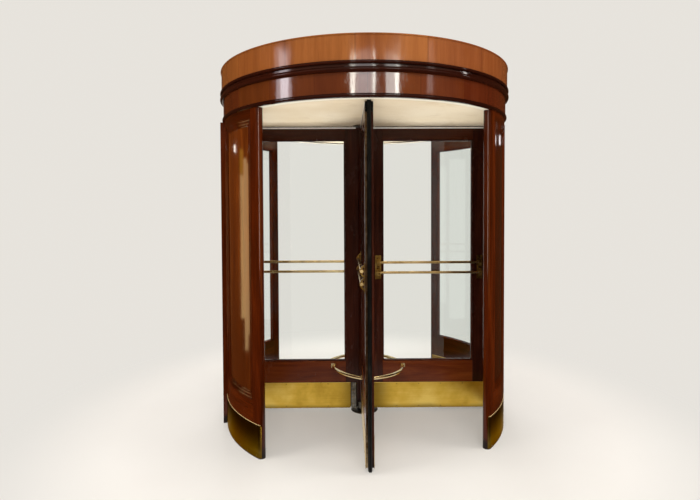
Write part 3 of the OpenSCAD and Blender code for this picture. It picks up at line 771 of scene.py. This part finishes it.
def softCorners(node, material, width):
    # A copy of a flat-sided node with its corners rounded, which stands in for it
    bm = bmesh.new()
    bm.from_mesh(nodes[node].data)
    bmesh.ops.remove_doubles(bm, verts=bm.verts, dist=arris["weld"])
    bmesh.ops.dissolve_limit(bm, angle_limit=math.radians(arris["flat"]), verts=bm.verts, edges=bm.edges)
    bm.verts.index_update()
    points = [v.co[:] for v in bm.verts]
    faces = [[v.index for v in face.verts] for face in bm.faces]
    bm.free()
    plain = bpy.data.meshes.new(node + "Plain")
    plain.from_pydata(points, [], faces)
    piece = bpy.data.objects.new("soft_" + node, plain)
    scene.collection.objects.link(piece)
    bevel = piece.modifiers.new("arris", "BEVEL")
    bevel.width = width
    bevel.segments = 2
    bevel.limit_method = "ANGLE"
    bevel.angle_limit = math.radians(arris["corner"])
    depsgraph = bpy.context.evaluated_depsgraph_get()
    rounded = bpy.data.meshes.new_from_object(piece.evaluated_get(depsgraph))
    piece.modifiers.clear()
    piece.data = rounded
    bpy.data.meshes.remove(plain)
    rounded.name = "soft_" + node
    rounded.materials.clear()
    rounded.materials.append(material)
    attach(piece, "rotor")
    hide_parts(node)


for index, wing in enumerate(wingNames):
    railWood = acrossWood if index % 2 else alongWood
    softCorners(wing + "_wing_stiles", wingWood, arris["timber"])
    softCorners(wing + "_wing_rails", railWood, arris["timber"])
    softCorners(wing + "_wing_kick_plates", wingPlateBrass, arris["plate"])
print("wing frames rounded")


stripMetal = brassMaterial("stripMetal", {
    "dark": srgb(100, 82, 58), "mid": srgb(150, 128, 98), "light": srgb(196, 178, 148),
    "spot": srgb(52, 38, 26),
    "patchScale": 30.0, "brush": (1.0, 1.0, 0.1), "speckScale": 90.0, "speckFrom": 0.66,
    "rough": 0.30, "roughSpread": 0.2, "dents": 0.2,
})
# painted highlight: near-white and hardly metallic, standing in for the bright line of light along the wings'
# tops; the bottom channels share it
carrierPaintedHighlight = brassMaterial("carrierPaintedHighlight", {
    "dark": srgb(232, 228, 220), "mid": srgb(250, 248, 244), "light": srgb(255, 254, 252),
    "spot": srgb(150, 138, 122),
    "patchScale": 30.0, "brush": (1.0, 1.0, 0.1), "speckScale": 90.0, "speckFrom": 0.70,
    "rough": 0.42, "roughSpread": 0.2, "dents": 0.2, "metallic": 0.05,
})
strip = {"halfIn": 0.0132, "halfOut": 0.0246, "from": 0.9543, "to": 0.9582, "chamfer": 0.0012, "short": 0.002}


def edgeStrips():  # flat strips on the wing's outer edge, one at each side of the rubber
    near, far, start, end, chamfer = (strip[key] for key in ("halfIn", "halfOut", "from", "to", "chamfer"))
    half = [(start, near), (end, near), (end, far - chamfer), (end - chamfer, far), (start, far)]
    low, high = door["wingBottom"] + strip["short"], door["wingTop"] - strip["short"]
    for name, side, material, slot in (
        ("rubberStripsTrailing", -1, stripMetal, "polished_brass"),
        ("rubberStripsLeading", 1, wingWood, "wing_mahogany"),
    ):
        bm = bmesh.new()
        for place in wingPlaces:
            prism(bm, [(x, side * y) for x, y in half], low, high, place)
        makePiece(name, bm, "rotor", material)


edgeStrips()
print("edge strips made")


rubberEdge = {"low": 0.0165, "high": 2.1995, "root": 0.9541, "tip": 0.9838, "lip": 0.0080, "body": 0.0129}


def rubberEdges():
    # The rubber has a stepped root, a groove along each side and a rounded lip
    root, tip, lip, body = (rubberEdge[key] for key in ("root", "tip", "lip", "body"))
    half = [
        (root, body), (root + 0.006, body), (root + 0.0072, body - 0.0016), (root + 0.0086, body - 0.0016),
        (root + 0.0098, body - 0.0002), (root + 0.0135, body - 0.0004), (tip - 0.004, lip),
        (tip - 0.0012, lip - 0.0014), (tip, lip - 0.0042), (tip - 0.0010, 0.0016), (tip - 0.0018, 0.0),
    ]
    outline = [(x, -y) for x, y in half] + [(x, y) for x, y in reversed(half[:-1])]
    bm = bmesh.new()
    for place in wingPlaces:
        prism(bm, outline, rubberEdge["low"], rubberEdge["high"], place)
    piece = makePiece("rubberEdges", bm, "rotor", rubber, sharp=50)
    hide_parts(*[wing + "_wing_sweeps" for wing in wingNames])


cap = {
    "from": 0.9544, "to": 0.9668, "half": 0.0243, "gap": 0.0003, "low": 2.138, "high": 2.1996,
    "cut": 0.0125, "bend": (0.0035, 0.0065), "foot": 0.004,
}


def rubberCaps():  # a pad over each outer top corner, with its upper corners cut off
    half, low, high, cut, foot = (cap[key] for key in ("half", "low", "high", "cut", "foot"))
    inner, (bendIn, bendDown) = rubberEdge["body"] + cap["gap"], cap["bend"]
    outline = [
        (half, low + foot), (half - foot, low), (inner, low), (inner, high), (half - cut, high),
        (half - bendIn, high - bendDown), (half, high - cut),
    ]
    bm = bmesh.new()
    for place in wingPlaces:
        for side in (-1, 1):
            loft(bm, [
                [bm.verts.new(place @ Vector((x, side * y, z))) for y, z in outline]
                for x in (cap["to"], cap["from"])])
    makePiece("rubberCaps", bm, "rotor", rubber)


# Sizes along the wing, out from its middle, and down from its bottom or its top
channel = {"from": 0.120, "to": 0.940, "near": 0.0054, "far": 0.0066, "low": 0.0085, "high": 0.0002}
topLip = {"from": 0.060, "to": 0.952, "near": 0.0253, "far": 0.0265, "low": 0.0110, "high": 0.0010}


def brushCarriers():  # channels that hold the bottom hair, and the lips along the top rails
    bm = bmesh.new()
    for place in wingPlaces:
        for side in (-1, 1):
            for bar, level in ((channel, door["wingBottom"]), (topLip, door["wingTop"])):
                corners = [(x, side * bar[y]) for x, y in (
                    (bar["from"], "near"), (bar["to"], "near"), (bar["to"], "far"), (bar["from"], "far"))]
                prism(bm, corners, level - bar["low"], level - bar["high"], place)
    # the carriers take the painted highlight material
    makePiece("brushCarriers", bm, "rotor", carrierPaintedHighlight)


tuftRings = ((0.0, 1.0), (0.55, 0.9), (1.0, 0.45))  # height and radius


def hairObject():  # one tapered tuft of unit height
    bm = bmesh.new()
    corners = [0.3 + math.pi / 2 * i for i in range(4)]
    loft(bm, [
        [bm.verts.new((radius * math.cos(a), radius * math.sin(a), z)) for a in corners]
        for z, radius in tuftRings])
    bmesh.ops.recalc_face_normals(bm, faces=bm.faces)
    return bpy.data.objects.new("hairTuft", meshOf("hairTuft", bm))


def randomValue(tree, low, high, seed):
    between = {2: low, 3: high, "Seed": seed}
    return addNode(tree, "FunctionNodeRandomValue", between, data_type="FLOAT").outputs[1]


def startTree(name, source, values, result):  # named inputs: what it works on, its sizes and a seed
    tree = bpy.data.node_groups.new(name, "GeometryNodeTree")
    face = tree.interface
    face.new_socket(source, in_out="INPUT", socket_type="NodeSocketGeometry")
    for value in values:
        face.new_socket(value, in_out="INPUT", socket_type="NodeSocketFloat")
    face.new_socket("Seed", in_out="INPUT", socket_type="NodeSocketInt")
    face.new_socket(result, in_out="OUTPUT", socket_type="NodeSocketGeometry")
    facing = addNode(tree, "GeometryNodeInputNamedAttribute", {"Name": "facing"}, data_type="FLOAT_VECTOR")
    return tree, addNode(tree, "NodeGroupInput").outputs, facing.outputs["Attribute"]


def endTree(tree, instances, material):  # made real, because the export drops instances
    real = addNode(tree, "GeometryNodeRealizeInstances", {0: instances}).outputs[0]
    coated = addNode(tree, "GeometryNodeSetMaterial", {"Geometry": real, "Material": material}).outputs[0]
    addNode(tree, "NodeGroupOutput", {0: coated})
    return tree


def brushTree(tuft, material):
    values = ("Step", "Hair radius", "Hair length", "Lean")
    tree, given, facing = startTree("brushes", "Paths", values, "Brushes")
    seed, radius = given["Seed"], given["Hair radius"]
    line = addNode(tree, "GeometryNodeMeshToCurve", {"Mesh": given["Paths"]}).outputs[0]
    spots = addNode(
        tree, "GeometryNodeCurveToPoints", {"Curve": line, "Length": given["Step"]}, mode="LENGTH")
    around = {0: (-1, -1, -1), 1: (1, 1, 1), "Seed": seed}
    spread = addNode(tree, "FunctionNodeRandomValue", around, data_type="FLOAT_VECTOR")
    leaning = addNode(
        tree, "ShaderNodeVectorMath", {0: spread.outputs[0], "Scale": given["Lean"]}, operation="SCALE")
    way = addVectors(tree, facing, leaning.outputs[0])
    turn = addNode(tree, "FunctionNodeAlignRotationToVector", {"Vector": way}, axis="Z").outputs[0]
    tall = times(tree, randomValue(tree, 0.86, 1.0, seed), given["Hair length"])
    size = addNode(tree, "ShaderNodeCombineXYZ", {0: radius, 1: radius, 2: tall}).outputs[0]
    hair = addNode(tree, "GeometryNodeObjectInfo", {"Object": tuft}).outputs["Geometry"]
    placed = addNode(
        tree, "GeometryNodeInstanceOnPoints",
        {"Points": spots.outputs["Points"], "Instance": hair, "Rotation": turn, "Scale": size})
    return endTree(tree, placed.outputs[0], material)


# Metres, and for the shape parts of the radius and of the rise
screwHead = {
    "radius": 0.0042, "rise": 0.0015, "slot": 0.0009, "sunk": 0.05, "slotFloor": 0.02, "sides": 8, "seed": 7,
    "rim": 0.25, "shoulder": (0.62, 0.82),
}


def screwHeadObject():  # a slotted raised head of unit radius, cut by a straight slot
    bm = bmesh.new()
    half = screwHead["slot"] / screwHead["radius"] / 2
    rise = screwHead["rise"] / screwHead["radius"]
    sunk, sides, (reach, up) = screwHead["sunk"], screwHead["sides"], screwHead["shoulder"]
    first = math.asin(half)
    for side in (1, -1):
        angles = [first + (math.pi - 2 * first) * i / sides for i in range(sides + 1)]
        rim = [(math.cos(angle), side * math.sin(angle)) for angle in angles]
        outer = [bm.verts.new((x, y, -sunk)) for x, y in rim]
        edge = [bm.verts.new((x, y, rise * screwHead["rim"])) for x, y in rim]
        mid = [bm.verts.new((x * reach, side * max(abs(y) * reach, half), rise * up)) for x, y in rim]
        top = bm.verts.new((0, side * half, rise))
        for i in range(sides):
            bm.faces.new((outer[i], outer[i + 1], edge[i + 1], edge[i]))
            bm.faces.new((edge[i], edge[i + 1], mid[i + 1], mid[i]))
            bm.faces.new((mid[i], mid[i + 1], top))
        foot = bm.verts.new((0, side * half, -sunk))
        bm.faces.new((outer[0], edge[0], mid[0], top, mid[-1], edge[-1], outer[-1], foot))
    low = -screwHead["slotFloor"]
    bm.faces.new([bm.verts.new((x, y, low)) for x, y in ((-1, -half), (1, -half), (1, half), (-1, half))])
    bmesh.ops.recalc_face_normals(bm, faces=bm.faces)
    return bpy.data.objects.new("screwHead", meshOf("screwHead", bm))


def screwTree(head, material):
    tree, given, facing = startTree("screws", "Places", ("Head radius",), "Screws")
    upright = addNode(tree, "FunctionNodeAlignRotationToVector", {"Vector": facing}, axis="Z").outputs[0]
    shape = addNode(tree, "GeometryNodeObjectInfo", {"Object": head}).outputs["Geometry"]
    spin = randomValue(tree, 0.0, math.pi, given["Seed"])
    spun = addNode(tree, "ShaderNodeCombineXYZ", {2: spin}).outputs[0]
    placed = addNode(
        tree, "GeometryNodeInstanceOnPoints",
        {"Points": given["Places"], "Instance": shape, "Rotation": upright, "Scale": given["Head radius"]})
    turned = addNode(
        tree, "GeometryNodeRotateInstances",
        {"Instances": placed.outputs[0], "Rotation": spun, "Local Space": True})
    return endTree(tree, turned.outputs[0], material)


def applyTree(name, source, tree, values, body):  # the tree's result, as a plain mesh on a body
    scene.collection.objects.link(source)
    modifier = source.modifiers.new("made", "NODES")
    modifier.node_group = tree
    for item in tree.interface.items_tree:
        if item.in_out == "INPUT" and item.name in values:
            modifier[item.identifier] = values[item.name]
    depsgraph = bpy.context.evaluated_depsgraph_get()
    mesh = bpy.data.meshes.new_from_object(source.evaluated_get(depsgraph))
    source.modifiers.remove(modifier)
    bpy.data.objects.remove(source)
    mesh.name = name
    piece = bpy.data.objects.new(name, mesh)
    scene.collection.objects.link(piece)
    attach(piece, body)
    return piece


def guideObject(name, points, edges, ways):  # points or paths, with the way that each point faces
    mesh = bpy.data.meshes.new(name)
    mesh.from_pydata([tuple(point) for point in points], edges, [])
    facing = mesh.attributes.new("facing", "FLOAT_VECTOR", "POINT")
    for i, way in enumerate(ways):
        facing.data[i].vector = way
    return bpy.data.objects.new(name, mesh)


def screwPoints(name, places):
    return guideObject(name, [spot for spot, way in places], [], [way for spot, way in places])


# Sizes along the wing, out from its middle and up, where pairs are for the wings with high and low bars
wingScrews = {
    "plateStart": {1: 0.108, -1: 0.070}, "plateEnd": door["frameEdge"] - 0.006, "inset": 0.012,
    "perRow": 6, "rows": (0.034, 0.209), "plateFace": door["wingFace"] + 0.002,
    "bracketFace": door["wingFace"] + 0.004, "strapFace": door["wingFace"] + 0.003,
    "bracketX": (0.110, 0.897), "bracketAcross": 0.015, "bracketUp": 0.082, "bracketHeight": (1.159, 1.119),
    "strapX": (0.092, 0.088), "strapHeights": (0.055, 0.105, 0.155, 0.190),
    "edgeHeights": (
        0.09, 0.16, 0.44, 0.75, 1.02, 1.10, 1.175, 1.46, 1.74, 1.885, 1.925, 1.995, 2.02, 2.045, 2.12),
}


def wingScrewPlaces():
    sizes = wingScrews
    inset, across, up = sizes["inset"], sizes["bracketAcross"], sizes["bracketUp"]
    edgeSide = -(strip["halfIn"] + strip["halfOut"]) / 2
    places = []
    for index, place in enumerate(wingPlaces):
        spots = []
        for side, start in sizes["plateStart"].items():
            span = sizes["plateEnd"] - start - 2 * inset
            for z in sizes["rows"]:
                for i in range(sizes["perRow"]):
                    x = start + inset + span * i / (sizes["perRow"] - 1)
                    spots.append(((x, side * sizes["plateFace"], z), (0, side, 0)))
        middle = sizes["bracketHeight"][index % 2]
        for x in sizes["bracketX"]:
            for dx in (-across, across):
                for dz in (-up, up):
                    spots.append(((x + dx, -sizes["bracketFace"], middle + dz), (0, -1, 0)))
        x = sizes["strapX"][index % 2]
        spots += [((x, sizes["strapFace"], z), (0, 1, 0)) for z in sizes["strapHeights"]]
        spots += [((strip["to"], edgeSide, z), (1, 0, 0)) for z in sizes["edgeHeights"]]
        turn = place.to_3x3()
        places += [(place @ Vector(spot), turn @ Vector(way)) for spot, way in spots]
    return places


# Degrees round the drum, and the radius and rows of the screws outside and inside the walls
drumScrews = {
    "from": 10.4, "to": 43.2, "perRow": 7,
    "outer": 1.0462, "outerRows": (0.020, 0.206), "inner": 0.9898, "innerRows": (0.020, 0.198),
}


def drumScrewPlaces():
    first, last = math.radians(drumScrews["from"]), math.radians(drumScrews["to"])
    places = []
    for sideX in (1, -1):
        for sideY in (1, -1):
            for i in range(drumScrews["perRow"]):
                angle = first + (last - first) * i / (drumScrews["perRow"] - 1)
                out = Vector((sideX * math.cos(angle), sideY * math.sin(angle), 0))
                for face, rows, way in (("outer", "outerRows", out), ("inner", "innerRows", -out)):
                    places += [(out * drumScrews[face] + Vector((0, 0, z)), way) for z in drumScrews[rows]]
    return places


headObject = screwHeadObject()
screws = screwTree(headObject, screwBrass)
sizes = {"Head radius": screwHead["radius"], "Seed": screwHead["seed"]}
for name, places, body in (
    ("wingScrews", wingScrewPlaces(), "rotor"),
    ("drumScrews", drumScrewPlaces(), "drum"),
):
    applyTree(name, screwPoints(name + "Places", places), screws, sizes, body)
bpy.data.objects.remove(headObject)
print("screws set")


# Rows of hair in the bottom and top brushes: where they run, from what height, which way and how long
brush = {"step": 0.0040, "hair": 0.0021, "lean": 0.10, "seed": 11}
brushRows = {
    "bottomBrushes": {
        "from": 0.120, "to": 0.941, "height": door["wingBottom"] - 0.0005,
        "rows": (-0.0034, 0.0034), "way": (0, 0, -1), "long": 0.0205,
    },
    "topBrushes": {
        "from": 0.090, "to": 0.972, "height": door["wingTop"] + 0.0002,
        "rows": (-0.0102, -0.0034, 0.0034, 0.0102), "way": (0, 0, 1), "long": 0.0092,
    },
}


def brushPaths(name, row):
    points = [
        place @ Vector((x, y, row["height"]))
        for place in wingPlaces for y in row["rows"] for x in (row["from"], row["to"])
    ]
    edges = [(i, i + 1) for i in range(0, len(points), 2)]
    return guideObject(name, points, edges, [row["way"]] * len(points))


tuft = hairObject()
brushes = brushTree(tuft, bristle)
for name, row in brushRows.items():
    sizes = {
        "Step": brush["step"], "Hair radius": brush["hair"], "Hair length": row["long"],
        "Lean": brush["lean"], "Seed": brush["seed"],
    }
    applyTree(name, brushPaths(name + "Paths", row), brushes, sizes, "rotor")
bpy.data.objects.remove(tuft)
rubberEdges()
rubberCaps()
brushCarriers()
print("rubber and brushes made")


outerPlate = {
    "low": 0.006, "high": 0.218, "from": 9.3, "wrap": 54, "corner": 0.014, "thick": 0.0020, "gap": 0.0002,
    "wallSteps": 40, "noseSteps": 16, "footBevel": (0.0005, 0.0006), "topBevel": (0.0006, 0.0008),
}


def plateColumns():  # points along the plate's foot, the way that each faces and how far along it is
    radius, nose, wrap = door["wallRadius"], door["noseRadius"], math.radians(outerPlate["wrap"])
    start, end = math.radians(outerPlate["from"]), math.radians(door["noseStart"])
    columns = []
    for i in range(outerPlate["wallSteps"] + 1):
        angle = start + (end - start) * i / outerPlate["wallSteps"]
        columns.append((Vector((math.cos(angle), math.sin(angle))) * radius, angle, (angle - start) * radius))
    centre, walked = Vector((math.cos(end), math.sin(end))) * door["wallMiddle"], (end - start) * radius
    for i in range(1, outerPlate["noseSteps"] + 1):
        turn = wrap * i / outerPlate["noseSteps"]
        out = Vector((math.cos(end + turn), math.sin(end + turn)))
        columns.append((centre + out * nose, end + turn, walked + turn * nose))
    return columns


def outerPlates():
    # Each plate follows the wall, bends part of the way round the nose and has a rounded top corner
    columns = plateColumns()
    full, corner, low = columns[-1][2], outerPlate["corner"], outerPlate["low"]
    back, face = outerPlate["gap"], outerPlate["gap"] + outerPlate["thick"]
    (footIn, footUp), (topIn, topDown) = outerPlate["footBevel"], outerPlate["topBevel"]
    bm = bmesh.new()
    for sideX in (1, -1):
        for sideY in (1, -1):
            rings = []
            for spot, angle, along in columns:
                past = max(0.0, along - (full - corner))
                high = outerPlate["high"] - corner + math.sqrt(max(0.0, corner * corner - past * past))
                out = Vector((math.cos(angle), math.sin(angle)))
                section = (
                    (back, low), (face - footIn, low), (face, low + footUp),
                    (face, high - topDown), (face - topIn, high), (back, high),
                )
                points = [(spot + out * lift, z) for lift, z in section]
                rings.append([bm.verts.new((sideX * flat.x, sideY * flat.y, z)) for flat, z in points])
            loft(bm, rings)
    piece = makePiece("outerPlates", bm, "drum", outerPlateBrass, sharp=30)
    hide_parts("outer_kick_plates")
    return piece


wallPlates = outerPlates()
print("outer kick plates made")

# The pieces whose varnish or metal each group of slim lamps shows in
lowerRings = [nodes["header_bead"], nodes["lower_frieze"]]
upperRings = [nodes["middle_moulding"], nodes["upper_frieze"]]
lobbyWalls = [nodes["lobby_wall_left"], nodes["lobby_wall_right"], nodes["panel_mouldings"]]
noses = [nodes["nose_posts"]]
barPieces = [nodes[wing + "_wing" + part] for wing in wingNames for part in ("_push_bars", "_bar_brackets")]


def mirrorLamp(name, where, target, size, level, colour, onto):  # level is its brightness, whatever its size
    makeLamp(name, where, target, size, level * size[0] * size[1], colour, onto)


headerLamps = (  # name, place, what it points at, width and height, brightness, colour
    ("frontLampA", (-1.45, -6.4, 3.83), (-0.1, -1.0, 2.3), (0.34, 0.85), 130, (1.0, 0.98, 0.88)),
    ("frontLampB", (0.11, -6.4, 3.83), (-0.1, -1.0, 2.3), (0.17, 0.85), 150, (1.0, 1.0, 0.92)),
    ("frontLampC", (1.93, -6.4, 3.83), (-0.1, -1.0, 2.3), (0.26, 0.85), 150, (0.98, 1.0, 0.92)),
    ("frontGlowA", (-0.62, -6.4, 3.83), (-0.1, -1.0, 2.3), (1.20, 0.85), 34, (0.96, 0.98, 1.0)),
    ("frontGlowB", (1.36, -6.4, 3.83), (-0.1, -1.0, 2.3), (0.80, 0.85), 52, (0.98, 1.0, 0.96)),
    ("leftHeaderGlow", (-4.73, -2.55, 3.55), (-0.57, -0.89, 2.3), (1.20, 1.0), 26, (1.0, 0.92, 1.0)),
    ("leftHeaderLamp", (-4.70, -2.62, 3.55), (-0.57, -0.89, 2.3), (0.62, 0.9), 46, (1.0, 0.95, 1.0)),
    ("rightHeaderGlow", (3.80, -4.55, 3.83), (0.28, -1.02, 2.3), (0.5, 0.9), 14, (1.0, 0.88, 0.84)),
)
upperShare = {"level": 0.42, "lower": 0.06, "shorter": 0.12}  # dimmer and lower in the upper rings
for name, where, target, size, level, colour in headerLamps:
    mirrorLamp(name, where, target, size, level, colour, lowerRings)
    lower = (where[0], where[1], where[2] - upperShare["lower"])
    short = (size[0], size[1] - upperShare["shorter"])
    mirrorLamp(name + "Above", lower, target, short, level * upperShare["level"], colour, upperRings)
mirrorLamp(
    "rightMouldingLamp", (4.9, -2.1, 3.7), (0.6, -0.8, 2.4), (0.3, 0.5), 40, (1.0, 0.95, 0.9),
    [nodes["middle_moulding"]])

# Lamps beside the left panel, from its middle along the drum: name, shift, low, high, brightness, colour
panelLamps = {
    "width": 0.14, "lampX": -2.0, "lampY": -0.06, "panelX": -0.83, "panelY": -0.60, "along": (0.419, 0.908),
}
alongX, alongY = panelLamps["along"]
for name, shift, low, high, level, colour in (
    ("leftPanelLampA", 0.14, 0.59, 1.88, 11.0, (1.0, 0.68, 0.28)),
    ("leftPanelLampB", 0.0, 0.30, 2.03, 11.6, (1.0, 0.70, 0.32)),
    ("leftPanelLampC", -0.14, 0.44, 1.99, 11.0, (1.0, 0.66, 0.28)),
    ("leftPanelSpot", 0.15, 1.89, 2.11, 5.0, (1.0, 0.60, 0.06)),
):
    middle = (low + high) / 2
    where = (panelLamps["lampX"] + alongX * shift, panelLamps["lampY"] + alongY * shift, middle)
    target = (panelLamps["panelX"] + alongX * shift, panelLamps["panelY"] + alongY * shift, middle)
    mirrorLamp(name, where, target, (panelLamps["width"], high - low), level, colour, lobbyWalls)

for name, where, target, size, level, colour, onto in (
    ("leftBulb", (-1.99, 0.56, 2.155), (-0.91, -0.47, 1.98), (0.09, 0.06), 36, (1.0, 0.92, 0.84), lobbyWalls),
    ("rightBulbA", (2.04, 0.20, 2.22), (0.81, -0.64, 2.02), (0.10, 0.08), 34, (1.0, 0.96, 1.0), lobbyWalls),
    ("rightBulbB", (1.85, 0.59, 2.23), (0.88, -0.53, 2.04), (0.10, 0.09), 16, (1.0, 0.96, 1.0), lobbyWalls),
    ("noseLamp", (-0.3, -5.6, 1.9), (0, -0.73, 1.3), (0.5, 2.6), 90, (1.0, 0.80, 0.70), noses),
    ("noseGlow", (3.2, -5.1, 1.2), (0.3, -0.73, 1.2), (2.4, 2.6), 8, (1.0, 0.42, 0.10), noses),
    ("barLamp", (0.0, -3.2, 1.5), (0, 0, 1.12), (3.2, 1.6), 3.0, (1.0, 0.96, 0.84), barPieces),
    ("braceLamp", (0.2, -2.6, 3.0), (0, -0.2, 0.35), (2.0, 0.8), 26, (1.0, 0.97, 0.90), [nodes["braces"]]),
):
    mirrorLamp(name, where, target, size, level, colour, onto)
for name, x in (("leftPlateEdgeLamp", -0.72), ("rightPlateEdgeLamp", 0.60)):
    mirrorLamp(name, (x, -1.06, 0.072), (x, -0.73, 0.15), (0.09, 0.13), 22, (1.0, 0.94, 0.80), [wallPlates])
print("mirrored lamps set up")
